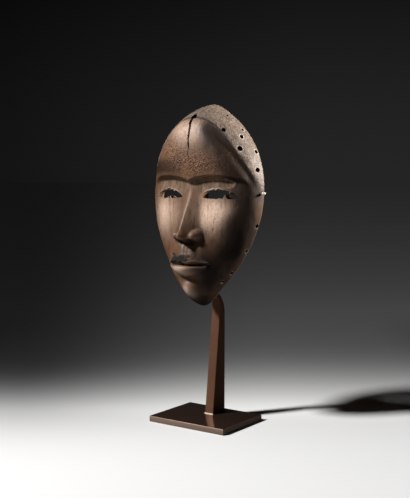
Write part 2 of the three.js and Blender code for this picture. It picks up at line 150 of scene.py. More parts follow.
# Mask: hairline band, split, drilled holes and peg
BAND_TOP_Z = 204.0
BAND_CURVE = 0.0144
BAND_STEP = 1.2
BAND_ENDS = (52, 22)
VALLEY = {"below": 7, "reach": 6.5, "depth": 2, "side": (10, 32)}
GROOVE_WIDTH = 1.7
GROOVE_DEPTH = 1.1
SPLIT = {"top": 202, "end": 150, "top_width": 3.2, "end_width": 0.3, "depth": 6, "sway": 0.35}
SPLIT_TEARS = {"size": 2.4, "deep": 0.35}
DRILL_BEYOND = 6.0

# Drilled holes: share of the half width, share of the height, radius in millimetres
CROWN_HOLE = (-0.062, 0.913, 3.3)
CROWN_HOLE_RISE = math.radians(1)
CROWN_HOLE_REACH = 28.0
RIM_HOLES = (
    (0.741, 0.851, 2.3),
    (0.931, 0.933, 1.3),
    (0.984, 0.862, 2.0),
    (0.938, 0.823, 2.5),
    (0.870, 0.763, 3.1),
    (0.995, 0.756, 2.4),
    (0.980, 0.668, 2.9),
    (0.995, 0.402, 2.2),
    (0.994, 0.281, 2.0),
    (0.984, 0.171, 2.0),
    (0.955, 0.126, 1.9),
)
HIDDEN_SIDE_HOLES = (1, 2, 4, 6, 7, 8, 10)

# Peg in the right edge
PEG_Z = 125.0
PEG_DEPTH = 5.0
PEG_RADIUS = 1.7
PEG_CLEARANCE = 0.3
PEG_OUT = 4.5
PEG_IN = 4.0
PEG_KNIFE = 0.12

# Peg's form: places along it from the mask's surface, and shares of its radius
PEG_PLACES = (-PEG_IN, -PEG_IN + 0.4, 0.0, 1.6, 3.0, 4.0, 4.35, PEG_OUT)
PEG_SHARES = (0.72, 1.0, 1.0, 0.96, 0.9, 0.78, 0.5, 0.2)

# Fineness of the meshes
ROWS = 290
COLUMNS = 196
MIDDLE_COLUMNS = 0.12
HOLLOW_COLUMNS = 60
RIM_STEPS = 5
RIM_ROUND = 1.5
DRILL_SIDES = 28
SEAT_SIDES = 20
PEG_SIDES = 12
EYE_STEPS = 90
SPLIT_STEPS = 56

# Turns of the surface, in degrees, from which an edge stays sharp; in the steel it is bevelled too
MASK_SHARP = 52
PEG_SHARP = 28
STEEL_SHARP = 40

WOOD_ZONES = "inside rim band seam crust ridge cavity broken worn patch handled hole_rim bore".split()

# Colours, as linear red, green and blue
WOOD = {
    "deep": (0.055, 0.025, 0.012),
    "warm": (0.125, 0.063, 0.034),
    "russet": (0.115, 0.046, 0.018),
    # The next colour is a paler tan of wear from hands, with a painted highlight of the key light in
    # it
    "handled": (0.56, 0.395, 0.30),
    "grain": (0.035, 0.018, 0.010),
    "dust": (0.20, 0.13, 0.09),
    # The next colour is painted shade, near black, where the key light doesn't reach
    "patch": (0.013, 0.006, 0.003),
    "ridge": (0.24, 0.16, 0.115),
    "crust": (0.070, 0.033, 0.018),
    "crust_grain": (0.28, 0.135, 0.065),
    "pit": (0.012, 0.008, 0.006),
    "band_deep": (0.112, 0.079, 0.059),
    "band_pale": (0.188, 0.152, 0.125),
    "band_speck": (0.038, 0.023, 0.016),
    "chip": (0.42, 0.34, 0.28),
    "worn": (0.46, 0.335, 0.26),
    "broken": (0.012, 0.007, 0.005),
    "seam": (0.018, 0.011, 0.008),
    "cavity": (0.012, 0.008, 0.006),
    "raw": (0.15, 0.092, 0.058),
    "raw_grain": (0.060, 0.035, 0.022),
    "rim": (0.10, 0.062, 0.041),
    # The next colour is painted shade, near black, on the walls inside the drilled holes
    "bore": (0.008, 0.006, 0.004),
    "peg": (0.66, 0.58, 0.46),
    "peg_grain": (0.40, 0.32, 0.23),
}
BRONZE = {
    "deep": (0.106, 0.042, 0.020),
    "warm": (0.138, 0.055, 0.027),
    "fleck": (0.22, 0.12, 0.075),
    "ridge": (0.34, 0.22, 0.15),
    "sawn": (0.235, 0.165, 0.125),
    "polished": (0.052, 0.030, 0.022),
    "weld": (0.40, 0.33, 0.26),
}
CRUST_ROUGHNESS = 0.62
ZONE_ROUGHNESS = dict(patch=0.54, band=0.55, seam=0.9, broken=0.9, cavity=0.7, inside=0.78)


def smoothstep(a, b, v):
    t = np.clip((v - a) / (b - a), 0, 1)
    return t * t * (3 - 2 * t)


def bell(v, reach):
    return np.exp(-((v / reach) ** 2))


def blend_max(a, b, k):
    h = np.clip(0.5 + 0.5 * (a - b) / k, 0, 1)
    return b * (1 - h) + a * h + k * h * (1 - h)


def lumps(points, size, seed):
    """Smooth noise from -1 to 1 at points (n, 3), with lumps about one size across."""
    table = np.random.default_rng(seed).uniform(-1, 1, 4096)
    place = points / np.asarray(size, float)
    cell = np.floor(place).astype(np.int64)
    part = place - cell
    part = part * part * (3 - 2 * part)
    total = np.zeros(len(points))
    for corner in np.ndindex(2, 2, 2):
        at = cell + corner
        key = (at[:, 0] * 73856093) ^ (at[:, 1] * 19349663) ^ (at[:, 2] * 83492791)
        weight = np.prod(np.where(corner, part, 1 - part), axis=1)
        total += weight * table[key % 4096]
    return total


def rough(points, size, seed, octaves=3):
    """Several sizes of lumps laid over each other, from about -1 to 1."""
    total = np.zeros(len(points))
    for step in range(octaves):
        total += lumps(points, np.asarray(size, float) / 2**step, seed + step) * 0.55**step
    return total


def half_width(z):
    up = np.clip((z - WIDEST_Z) / (HEIGHT - WIDEST_Z), 0, 1)
    low = np.clip((WIDEST_Z - z) / WIDEST_Z, 0, 1)
    upper = (1 - up ** UPPER_POWERS[0]) ** UPPER_POWERS[1]
    lower = (1 - low ** LOWER_POWERS[0]) ** LOWER_POWERS[1]
    w = HALF_WIDTH * np.where(z >= WIDEST_Z, upper, lower)
    top = np.clip(HEIGHT - z, 0, None)
    bottom = np.clip(z, 0, None)
    crown = 2 * CROWN_ROUND * top * np.exp(-top / CROWN_ROUND)
    chin = 2 * CHIN_ROUND * bottom * np.exp(-bottom / CHIN_ROUND)
    return np.sqrt(w * w + crown + chin)


def depth_at(z):
    body = FACE_DEPTH + (DEPTH - FACE_DEPTH) * smoothstep(*SWELL, z)
    chin_z, chin_inner, chin_outer = CHIN_PROFILE
    crown_z, crown_inner, crown_outer = CROWN_PROFILE
    chin_in = np.clip(1 - z / chin_z, 0, 1)
    crown_in = np.clip((z - crown_z) / (HEIGHT - crown_z), 0, 1)
    return body * (1 - chin_in**chin_inner) ** chin_outer * (1 - crown_in**crown_inner) ** crown_outer


def mound(x, z, at):
    across, up, out, half, high = at
    return out * bell(np.abs(x) - across, half) * bell(z - up, high)


def dome(x, z, at):
    across, up, out, half, high = at
    return out * (1 - ((np.abs(x) - across) / half) ** 2 - ((z - up) / high) ** 2)


def from_root(down, size):
    """A size of the nose, from its root at 0 to its tip at 1."""
    return size["root"] + (size["tip"] - size["root"]) * down ** size["power"]


def nose(x, z):
    ax = np.abs(x)
    down = np.clip((NOSE["root"] - z) / (NOSE["root"] - NOSE["tip"]), 0, 1.2)
    rounded = np.sqrt(ax * ax + NOSE["ridge"] ** 2) - NOSE["ridge"]
    form = from_root(down, NOSE_OUT) * (1 - rounded / from_root(down, NOSE_HALF))
    form = blend_max(form, dome(x, z, NOSE_WING), NOSE_BLENDS["wing"])
    form = blend_max(form, dome(x, z, NOSE_BALL), NOSE_BLENDS["ball"])
    form = blend_max(form, np.zeros_like(x), NOSE_BLENDS["cheek"])
    under = smoothstep(NOSE["base"] - 1.8, NOSE["base"] + 3.2, z - 0.1 * ax)
    return form * under * smoothstep(NOSE["root"] + 10, NOSE["root"] - 2, z)


def lip_roll(share):
    """A lip's fullness from the parting line, 0, to its outer border, 1."""
    rolled_in = LIPS_OUT["rolled_in"]
    turn = np.pi * (rolled_in + (1 - rolled_in) * np.clip(share, 0, 1))
    return np.sin(turn) ** LIPS_OUT["fullness"]


def lips(x, z):
    across = np.clip(1 - (x / LIPS["half"]) ** 2, 0, 1)
    lower_across = np.clip(1 - (x / LIPS["lower_half"]) ** 2, 0, 1)
    over = z - (LIPS["z"] + LIPS["curve"] * x * x)
    bow = LIPS_BOW["deep"] * bell(x, LIPS_BOW["half"])
    upper_high = np.maximum(LIPS["upper"] * across**0.55 - bow, LIPS_LEAST)
    lower_high = np.maximum(LIPS["lower"] * lower_across**0.6, LIPS_LEAST)
    upper = LIPS_OUT["upper"] * lip_roll(over / upper_high)
    lower = LIPS_OUT["lower"] * lip_roll(-over / lower_high)
    gap = LIPS_GAP["deep"] * bell(over, LIPS_GAP["high"])
    return np.where(over >= 0, upper, lower) * across**0.6 - gap * across**0.4


def furrow(x, z):
    """The shallow furrow between the nose and the upper lip."""
    top = LIPS["z"] + LIPS["upper"]
    from_lip = smoothstep(top - 2, top + 2, z)
    to_nose = smoothstep(NOSE["base"] + 1, NOSE["base"] - 3, z)
    return -FURROW["deep"] * bell(x, FURROW["half"]) * from_lip * to_nose


def brow_sink(x, z):
    ax = np.abs(x)
    below = BROW["z"] + BROW["arch"] * (1 - ((ax - BROW["middle"]) / BROW["half"]) ** 2) - z
    fade = bell(np.maximum(below - BROW["ledge"], 0), BROW["fade"])
    sunk = smoothstep(-1.5, BROW["ledge"] - 1, below) * fade
    return -BROW["sink"] * sunk * smoothstep(*BROW_ENDS, ax)


def hairline(x):
    return BAND_TOP_Z - BAND_CURVE * x * x


def valley(x, z):
    """The shallow valley that runs beside the hairline down each temple."""
    below = hairline(x) - z
    dip = bell(below - VALLEY["below"], VALLEY["reach"])
    return -VALLEY["depth"] * dip * smoothstep(*VALLEY["side"], np.abs(x))


def bulge(u, z):
    power = BULGE_POWER + BULGE_MORE * smoothstep(*BULGE_RISE, z)
    return np.sqrt(np.maximum(1 - np.abs(u) ** power, 0))


def face_depth(u, z):
    x = half_width(z) * u
    relief = nose(x, z) + lips(x, z) + furrow(x, z) + brow_sink(x, z) + valley(x, z)
    for at in MOUNDS:
        relief = relief + mound(x, z, at)
    return depth_at(z) * bulge(u, z) + relief * smoothstep(1, 0.86, np.abs(u)) * smoothstep(0, 6, z)


def face_point(u, z):
    """Places on the outer face, stacked in the last axis, in the upright mask's millimetres."""
    return np.stack([half_width(z) * u, -face_depth(u, z), z], -1)


def hollow_point(u, z):
    deep = depth_at(z)
    roof = deep - WALL * (1 - np.exp(-deep / WALL))
    x = half_width(z) * u
    room = mound(x, z, EYE_ROOM) * smoothstep(1, 0.8, np.abs(u))
    y = -np.maximum(roof * bulge(u, z) - room, 0)
    up = CHIN_WALL + z * (1 - (CHIN_WALL + WALL) / HEIGHT)
    return np.stack([x * (1 - RIM_WIDTH / HALF_WIDTH), y, up], -1)


def row_heights(rows):
    """Heights of rows at equal distances along the middle line."""
    z = HEIGHT * (1 - np.cos(np.linspace(0, np.pi, 2001))) / 2
    run = np.concatenate([[0], np.cumsum(np.hypot(np.diff(z), np.diff(depth_at(z))))])
    return np.interp(np.linspace(0, run[-1], rows + 1), run, z)


def column_shares(columns, middle):
    """Shares of the half width; middle above 0 brings them closer together on the middle line."""
    t = np.linspace(-1, 1, columns + 1)
    return np.sin(((1 - middle) * t + middle * t**3) * np.pi / 2)


def grid_normals(grid):
    """Unit normals of a grid of points, turned towards the viewer in front of the mask."""
    normal = np.cross(np.gradient(grid, axis=1), np.gradient(grid, axis=0))
    return normal / np.maximum(np.linalg.norm(normal, axis=2, keepdims=True), 1e-9)


def outline_normals(z):
    """The outline's outward direction on the right side, as x and z parts."""
    slope = np.clip(np.gradient(half_width(z), z), -60, 60)
    size = np.hypot(1, slope)
    return 1 / size, -slope / size


def rounding(depth, radius):
    """How far a corner of that radius is drawn in at a depth below it."""
    left = np.clip(radius - depth, 0, radius)
    return radius - np.sqrt(radius * radius - left * left)


# Marks of the outer face, in millimetres of height; TOOL_WAVES are sizes of lumps and their heights
TOOL_WAVES = (((11, 11, 20), 0.28), ((5, 5, 8), 0.12))
BAND_ROUGHNESS = 0.16
CRUST_GRAINS = 0.35
CRUST_PITS = 0.5
LIP_BREAK = 1.6
SPLIT_LIP = {"x": -2.0, "half": 1.1, "out": 0.35}
NOSTRIL = (6.8, 69.5, -1.6, 3.0, 2.2)
NOSE_WEAR = (0, 74.5, -1.2, 8, 9.5)
HOLE_DISH = {"out": 0.4, "wider": 0.7}
# Nicks: place across and up, reach along and across, depth, lean in radians
NICKS = (
    (30.0, 84.0, 2.6, 0.9, 0.7, 0.25),
    (27.5, 113.5, 0.9, 0.9, 0.6, 0.0),
    (52.0, 110.0, 1.0, 0.8, 0.5, 0.4),
    (24.0, 66.0, 1.4, 0.7, 0.4, -0.6),
    (12.0, 158.0, 2.4, 1.0, 0.6, -0.5),
    (-26.0, 150.0, 1.8, 0.9, 0.5, 0.9),
    (38.0, 163.0, 1.8, 0.8, 0.5, -0.9),
)


def face_normal(u, z):
    """Outward direction of the bare outer face at one place."""
    du = -0.01 if u > 0 else 0.01
    dz = -0.2 if z > HEIGHT / 2 else 0.2
    here, across, upward = (face_point(*at) for at in ((u, z), (u + du, z), (u, z + dz)))
    normal = np.cross(across - here, upward - here) * np.sign(du) * np.sign(dz)
    return normal / np.linalg.norm(normal)


def all_holes():
    """Each drilled hole's place on the face, axis, radius and reach to either side."""
    across, up, radius = CROWN_HOLE
    level = np.array([0, -math.cos(CROWN_HOLE_RISE), math.sin(CROWN_HOLE_RISE)])
    yield face_point(np.array(across), np.array(up * HEIGHT)), level, radius, CROWN_HOLE_REACH
    drilled = [(hole, 1) for hole in RIM_HOLES]
    drilled += [(RIM_HOLES[number], -1) for number in HIDDEN_SIDE_HOLES]
    for (across, up, radius), side in drilled:
        u = np.array(side * across)
        z = np.array(up * HEIGHT)
        yield face_point(u, z), face_normal(u, z), radius, WALL + DRILL_BEYOND


def from_axis(points, place, axis):
    """Distance of each point from a hole's axis, far away beyond the hole's own wall."""
    away = points - place
    along = away @ axis
    across = np.linalg.norm(away - along[:, None] * axis, axis=1)
    return np.where(np.abs(along) < 1.4 * WALL, across, 10 * WALL)


def crust_share(x, z):
    """Where the lower forehead is crusted and pitted."""
    right = bell(x - 6, 26) * bell(z - 153, 13)
    left = bell(x + 28, 18) * bell(z - 172, 13)
    return np.clip(right + left, 0, 1)


def handled_and_highlight_share(x, z):
    """Where the patina is painted a paler tan: wear from hands, and a painted highlight of the key
    light on the cheeks and the upper forehead.
    """
    left_cheek = bell(x + 38, 17) * bell(z - 101, 23)
    right_cheek = 1.3 * bell(x - 29, 18) * bell(z - 102, 17)
    forehead = bell(x + 8, 27) * bell(z - 187, 15)
    return np.clip(0.85 * left_cheek + right_cheek + 0.85 * forehead, 0, 1)


def painted_shade_share(x, z):
    """Where shade is painted into the patina, nearly black: over the left eye, down the right side, by
    the hairline.
    """
    over_eye = 1.2 * smoothstep(-5, -12, x) * bell(z - 151, 9.5)
    edge = 38 + 10 * bell(z - 110, 16)
    right_side = smoothstep(edge - 9, edge + 9, x) * smoothstep(215, 190, z)
    right_side = right_side * (1 - 0.7 * smoothstep(64, 70, x))
    right_jaw = smoothstep(2, 22, x) * smoothstep(76, 50, z)
    under_chin = smoothstep(-14, -2, x) * smoothstep(15, 8, z)
    by_hairline = smoothstep(8, 24, x) * bell(z - hairline(x) + 9, 8)
    forehead = 0.75 * smoothstep(9, 24, x) * smoothstep(142, 152, z)
    return np.clip(over_eye + right_side + right_jaw + under_chin + by_hairline + forehead, 0, 1)


def lip_break(x, z):
    """Where the upper lip is broken and rough."""
    ragged = 0.55 * rough(np.stack([x, 0 * x, z], -1), (7, 1, 4), 27)
    torn = 1.45 * smoothstep(-24, -16, x) * smoothstep(16, 5, x) * bell(z - (LIPS["z"] + 5.5), 5.0)
    share = smoothstep(0.25, 0.8, torn + ragged * (torn > 0.05))
    return share * smoothstep(LIPS["z"] - 0.5, LIPS["z"] + 1.5, z)


def band_marks(x, z, points):
    """The sunk hairline band, its rough surface and the groove under it."""
    above = z - hairline(x)
    band = smoothstep(-0.9, 0.9, above)
    broken = 0.15 + 0.85 * smoothstep(34, 18, np.abs(x))
    groove = GROOVE_DEPTH * bell(above, GROOVE_WIDTH * 0.6) * (broken + 0.3 * lumps(points, 5, 11))
    step = BAND_STEP * band * smoothstep(*BAND_ENDS, np.abs(x))
    return band * BAND_ROUGHNESS * rough(points, 3.0, 3) - step - groove


def nick_mark(x, z, nick):
    """The dent of one nick, turned by its lean."""
    at_x, at_z, length, breadth, deep, lean = nick
    dx, dz = x - at_x, z - at_z
    along = dz * math.cos(lean) + dx * math.sin(lean)
    across = dx * math.cos(lean) - dz * math.sin(lean)
    return -deep * bell(along, length) * bell(across, breadth)


def face_marks(x, z, points):
    """Height that tool marks, wear and damage add to the outer face."""
    height = band_marks(x, z, points)
    for seed, (size, out) in enumerate(TOOL_WAVES, 1):
        height += out * lumps(points, size, seed)
    pits = smoothstep(0.25, 0.75, rough(points, 2.6, 5))
    grains = smoothstep(0.35, 0.8, rough(points, 2.2, 8))
    height += crust_share(x, z) * (CRUST_GRAINS * grains - CRUST_PITS * pits)
    splinters = 0.65 + 0.6 * rough(points, 4.0, 21) + 0.3 * rough(points, (1.5, 1.5, 3.0), 25, 2)
    height -= LIP_BREAK * lip_break(x, z) * splinters
    for nick in NICKS:
        height += nick_mark(x, z, nick)
    raised = bell(x - SPLIT_LIP["x"], SPLIT_LIP["half"])
    raised = raised * smoothstep(SPLIT["end"], SPLIT["end"] + 12, z)
    height += SPLIT_LIP["out"] * raised * smoothstep(SPLIT["top"] + 2, SPLIT["top"] - 4, z)
    height += mound(x, z, NOSTRIL) + mound(x, z, NOSE_WEAR)
    for place, axis, radius, _ in all_holes():
        height -= HOLE_DISH["out"] * bell(from_axis(points, place, axis), radius + HOLE_DISH["wider"])
    return height


def gouge_marks(points):
    """Height of the overlapping scoops that the gouge left in the hollow."""
    width, length = 9.0, 21.0
    lane_place = points[:, 0] / width + 0.35 * lumps(points, 24, 41)
    lane = np.floor(lane_place)
    start = np.random.default_rng(7).uniform(0, 1, 64)[lane.astype(int) % 64]
    run = points[:, 2] / length + start + 0.25 * lumps(points, 30, 42)
    across = 2 * (lane_place - lane) - 1
    along = run - np.floor(run)
    scoop = (1 - across**2) * (1 - along) ** 0.6 * smoothstep(0, 0.14, along)
    return 0.75 * scoop + 0.25 * lumps(points, 14, 43) + 0.1 * rough(points, 3.0, 44)


def outer_grid(z, u):
    """Points on the outer face with its marks, a row for each height and a column for each share."""
    outer = face_point(u, z)
    flat = outer.reshape(-1, 3)
    ends = smoothstep(0, 5, z) * smoothstep(HEIGHT, HEIGHT - 4, z)
    marks = face_marks(flat[:, 0], flat[:, 2], flat).reshape(z.shape)
    marks = np.minimum(marks, smoothstep(-DEPTH - 4, -DEPTH + 2, outer[:, :, 1]) * 0.6)
    outer = outer + grid_normals(outer) * (marks * ends)[..., None]
    crown = smoothstep(HEIGHT - 16, HEIGHT, z)
    outer[:, :, 2] -= (BAND_STEP + 0.1) * crown * (1 - ends * (z < HEIGHT))
    outer[:, :, 1] = np.minimum(outer[:, :, 1], 0)
    outer[:, [0, -1], 1] = 0
    return outer


def inner_grid(z, u):
    """Points on the hollow's surface with its gouge marks, in the same rows."""
    inner = hollow_point(u, z)
    ends = smoothstep(0, 14, z) * smoothstep(HEIGHT, HEIGHT - 14, z)
    ends = ends * smoothstep(1, 0.93, np.abs(u))
    scoops = gouge_marks(inner.reshape(-1, 3)).reshape(z.shape)
    return inner + grid_normals(inner) * ((scoops - 0.35) * ends)[..., None]


def rim_strip(start, end, wave):
    """Points from one edge of the rim to the other, slightly crowned."""
    t = np.linspace(0, 1, RIM_STEPS + 1)[1:-1][None, :, None]
    rim = start[:, None] + (end - start)[:, None] * t
    rim[:, :, 1] -= 0.25 * np.sin(np.pi * t[0, :, 0])[None, :] * (1 + wave[:, None])
    return rim


def mask_rings():
    """Closed rings of points round the mask's wall, one for each row from the chin to the crown."""
    z = row_heights(ROWS)
    u, outer_z = np.meshgrid(column_shares(COLUMNS, MIDDLE_COLUMNS), z)
    inner_u, inner_z = np.meshgrid(column_shares(HOLLOW_COLUMNS, 0.0), z)
    outer = outer_grid(outer_z, u)
    inner = inner_grid(inner_z, inner_u)

    normal_x, normal_z = outline_normals(z)
    edge = np.stack([half_width(z), 0 * z, z], -1)
    radius = RIM_ROUND + 0.5 * lumps(edge, 16, 31)[:, None]
    for grid, share, sign in ((outer, u, -1), (inner, inner_u, 1)):
        drawn = rounding(-grid[:, :, 1], radius)
        grid[:, :, 0] += sign * drawn * share * normal_x[:, None]
        grid[:, :, 2] += sign * drawn * normal_z[:, None]
    wave = 0.5 * lumps(edge, 22, 33) + 0.25 * rough(edge, 6, 34)
    outer[:, 0, 0] -= 0.35 * wave
    outer[:, -1, 0] += 0.35 * wave
    right = rim_strip(outer[:, -1], inner[:, -1], wave)
    left = rim_strip(outer[:, 0], inner[:, 0], wave)
    return np.concatenate([outer, right, inner[:, ::-1], left[:, ::-1]], axis=1)


def mesh_object(name, vertices, faces):
    mesh = bpy.data.meshes.new(name)
    mesh.from_pydata(np.asarray(vertices, float).tolist(), [], faces)
    mesh.update()
    piece = bpy.data.objects.new(name, mesh)
    bpy.context.scene.collection.objects.link(piece)
    return piece


def edit_mesh(piece, work, *details):
    """Runs work on a bmesh of the piece and writes it back."""
    editor = bmesh.new()
    editor.from_mesh(piece.data)
    work(editor, *details)
    editor.to_mesh(piece.data)
    editor.free()
    piece.data.update()


def settle(piece):
    """Replaces the piece's mesh by what its modifiers make of it."""
    bpy.context.view_layer.update()
    settled = piece.evaluated_get(bpy.context.evaluated_depsgraph_get())
    mesh = bpy.data.meshes.new_from_object(settled)
    piece.modifiers.clear()
    piece.data = mesh


def tidy_surface(editor):
    bmesh.ops.remove_doubles(editor, verts=editor.verts, dist=1e-4)
    bmesh.ops.dissolve_degenerate(editor, dist=1e-5, edges=editor.edges)
    bmesh.ops.recalc_face_normals(editor, faces=editor.faces)


def closed_rings(name, rings, capped=True):
    """A closed surface through rings of points with the same count in each."""
    rows, count = rings.shape[:2]
    index = np.arange(rows * count).reshape(rows, count)
    after = np.roll(index, -1, axis=1)
    faces = np.stack([index[:-1], after[:-1], after[1:], index[1:]], -1).reshape(-1, 4).tolist()
    if capped:
        faces += [index[0][::-1].tolist(), index[-1].tolist()]
    piece = mesh_object(name, rings.reshape(-1, 3), faces)
    edit_mesh(piece, tidy_surface)
    return piece


def drill_cutter(place, axis, radius, reach):
    """A slightly uneven round cutter along a hole's axis."""
    turn = np.array(Vector(axis).to_track_quat("Z", "Y").to_matrix())
    angles = np.linspace(0, 2 * np.pi, DRILL_SIDES, endpoint=False)
    start = 100 * radius
    uneven = radius * (1 + 0.06 * np.sin(2 * angles + start) + 0.03 * np.sin(5 * angles + 2 * start))
    circle = np.stack([uneven * np.cos(angles), uneven * np.sin(angles), 0 * angles], -1)
    steps = [turn[:, 2] * along for along in (-reach, -6.0, -2.6, -1.2, reach)]
    return closed_rings("drill", np.array([circle @ turn.T + place + step for step in steps]))


def eye_cutter(side):
    """The eye's slit, chipped along its edge and wider inside the mask."""
    t = np.linspace(0, 1, EYE_STEPS)
    corner = 0.62
    swing = 3 * t * (1 - t)
    upper_x = -((1 - t) ** 3) - corner * swing * (1 - t) + corner * swing * t + t**3
    upper_z = swing * EYE["rise"] / 0.75
    lower_z = -swing * EYE["drop"] / 0.75
    xs = np.concatenate([upper_x, upper_x[::-1][1:-1]]) * EYE["half"]
    zs = np.concatenate([upper_z, lower_z[::-1][1:-1]])
    chips = lumps(np.stack([xs, 0 * xs + side * 9, zs], -1), 2.2, 61)
    zs = zs + 0.6 * chips * (1 - (xs / EYE["half"]) ** 2)
    upper = np.arange(len(xs)) < len(t)
    for place, reach, length in EYE_REMNANTS[side]:
        zs = np.where(upper == (length < 0), zs + bell(xs - place, reach) * length, zs)
    rings = [
        np.stack([side * EYE["x"] + xs * wider, 0 * xs + y, EYE["z"] + zs * wider], -1)
        for y, wider in ((WALL, 1.12), (-20.0, 1.1), (-34.0, 1.0), (-2 * DEPTH, 1.0))
    ]
    return closed_rings("eye", np.array(rings))


def split_cutter():
    """A blade with torn edges that widens towards the crown."""
    share = np.linspace(0, 1, SPLIT_STEPS + 1)
    z = SPLIT["end"] + (SPLIT["top"] - SPLIT["end"]) * share
    half = (SPLIT["end_width"] + (SPLIT["top_width"] - SPLIT["end_width"]) * share) / 2
    floor = face_point(0 * z, z)[:, 1] + SPLIT["depth"] * (0.25 + 0.75 * share)
    shoulder = floor - SPLIT["depth"] / 2
    outside = 0 * z - 2 * DEPTH
    sway = SPLIT["sway"]
    middle = 4 * sway - 8 * sway * share**4 + sway * np.sin(share * 9 * 2.1)
    line = np.stack([z, 0 * z, 0 * z], -1)
    tears = (lumps(line, SPLIT_TEARS["size"], seed) for seed in (71, 72))
    right, left = (half + SPLIT_TEARS["deep"] * tear * smoothstep(0, 0.2, share) for tear in tears)
    corners = (
        (middle, floor),
        (middle + right, shoulder),
        (middle + right, outside),
        (middle - left, outside),
        (middle - left, shoulder),
    )
    return closed_rings("split", np.stack([np.stack([x, y, z], -1) for x, y in corners], axis=1))


def peg_surface_x():
    """Where the mask's side passes the peg."""
    u = 0.9
    while u < 1 and face_depth(np.array(u), np.array(PEG_Z)) > PEG_DEPTH:
        u += 0.001
    return float(half_width(np.array(PEG_Z)) * u)


def round_rod(name, radii, places, sides):
    """A rod along x with a radius at each place."""
    angles = np.linspace(0, 2 * np.pi, sides, endpoint=False)
    rings = []
    for radius, x in zip(radii, places):
        ring = np.stack([0 * angles + x, radius * np.cos(angles), radius * np.sin(angles)], -1)
        rings.append(ring + np.array([0, -PEG_DEPTH, PEG_Z]))
    return closed_rings(name, np.array(rings))


def all_cutters():
    """The cutters of the mask's slits, split, peg seat and drilled holes."""
    surface = peg_surface_x()
    seat_radius = PEG_RADIUS + PEG_CLEARANCE
    seat = (surface - PEG_IN - PEG_CLEARANCE, surface + PEG_OUT)
    pieces = [split_cutter(), eye_cutter(-1), eye_cutter(1)]
    pieces.append(round_rod("seat", (seat_radius, seat_radius), seat, SEAT_SIDES))
    return pieces + [drill_cutter(*hole) for hole in all_holes()]


def cut(piece, cutters):
    """Takes every cutter out of the piece, exactly, and deletes the cutters."""
    group = bpy.data.collections.new("cutters")
    bpy.context.scene.collection.children.link(group)
    for cutter in cutters:
        bpy.context.scene.collection.objects.unlink(cutter)
        group.objects.link(cutter)
    change = piece.modifiers.new("cut", "BOOLEAN")
    change.operation = "DIFFERENCE"
    change.operand_type = "COLLECTION"
    change.collection = group
    change.solver = "EXACT"
    settle(piece)
    for cutter in cutters:
        bpy.data.objects.remove(cutter)
    bpy.data.collections.remove(group)


def read(items, name, width, kind=float):
    """One property of a mesh's vertices or edges, a row for each."""
    flat = np.zeros(len(items) * width, kind)
    items.foreach_get(name, flat)
    return flat.reshape(-1, width)


def positions(mesh):
    return read(mesh.vertices, "co", 3)


def curvature(mesh):
    """How far each vertex stands out of its neighbours, as a share of their distance, smoothed."""
    points = positions(mesh)
    normals = read(mesh.vertices, "normal", 3)
    a, b = read(mesh.edges, "vertices", 2, int).T
    count = np.maximum(np.bincount(np.concatenate([a, b]), minlength=len(points)), 1)
    between = points[b] - points[a]
    length = np.maximum(np.linalg.norm(between, axis=1), 1e-6)
    lean_a = -np.einsum("ij,ij->i", between, normals[a]) / length
    lean_b = np.einsum("ij,ij->i", between, normals[b]) / length
    value = (np.bincount(a, lean_a, len(points)) + np.bincount(b, lean_b, len(points))) / count
    for _ in range(3):
        around = np.bincount(a, value[b], len(points)) + np.bincount(b, value[a], len(points))
        value = 0.4 * value + 0.6 * around / count
    return value


def store(mesh, name, values):
    layer = mesh.attributes.new(name, "FLOAT", "POINT")
    layer.data.foreach_set("value", np.asarray(values, np.float32))


def mark_zones(mesh):
    """Stores how far each vertex belongs to each zone of the wood, from its place."""
    points = positions(mesh)
    x, y, z = points.T
    height = np.clip(z, 0, HEIGHT)
    mid_u = np.clip(x / np.maximum(half_width(height) - 4, 1), -1, 1)
    mid_depth = np.maximum(depth_at(height) - 4.5, 0) * bulge(mid_u, z)
    outside = (-y > mid_depth) | (np.abs(mid_u) >= 1) | (z < 2.5) | (z > HEIGHT - 4.5)
    above = z - hairline(x)
    lower_lip = bell(x + 4, 11) * bell(z - (LIPS["z"] - 6), 4.5)
    chin_spot = bell(x + 1, 6) * bell(z - 17, 6)
    zones = {
        "rim": smoothstep(-2.2, -0.4, y),
        "band": smoothstep(-1.0, 1.0, above),
        "seam": bell(above, 1.3) * smoothstep(50, 34, np.abs(x)),
        "crust": crust_share(x, z),
        "broken": lip_break(x, z),
        "worn": np.clip(lower_lip + chin_spot, 0, 1),
        # painted shade, near black, over the left eye, down the right side, by the hairline, on the
        # right jaw and under the chin
        "patch": painted_shade_share(x, z),
        # paler tan of wear from hands, with a painted highlight of the key light
        "handled": handled_and_highlight_share(x, z),
    }
    for name in zones:
        zones[name] = zones[name] * outside
    zones["inside"] = ~outside
    standing = curvature(mesh)
    zones["ridge"] = np.clip(standing * 9, 0, 1)
    zones["cavity"] = np.clip(-standing * 9, 0, 1)
    zones["hole_rim"] = zones["bore"] = np.zeros(len(points))
    for place, axis, radius, reach in all_holes():
        away = from_axis(points, place, axis)
        deep = (place - points) @ axis
        mouth = 5.0 if reach > WALL + DRILL_BEYOND else 0.8
        rim = smoothstep(radius + 1.5, radius + 0.4, away) * (deep < mouth)
        # painted shade on the wall inside each drilled hole
        bore = (away < radius * 1.15) * smoothstep(0.5, 1.4, deep)
        zones["hole_rim"] = np.maximum(zones["hole_rim"], rim)
        zones["bore"] = np.maximum(zones["bore"], bore)
    for name in WOOD_ZONES:
        store(mesh, name, zones[name])


def to_stand(post_back):
    """The turn and shift from the upright mask's millimetres to its place on the stand, in metres."""
    back = post_back - ARM_REACH - RISE_INNER - BAR_THICK + RISER_SUNK
    up = ARM_TOP_Z - BAR_THICK - CHIN_WALL - CHIN_CLEARANCE
    shift = Matrix.Translation((MASK_SIDE_SHIFT, back, up))
    return TO_METRES @ shift @ Matrix.Rotation(-MASK_LEAN, 4, "X")


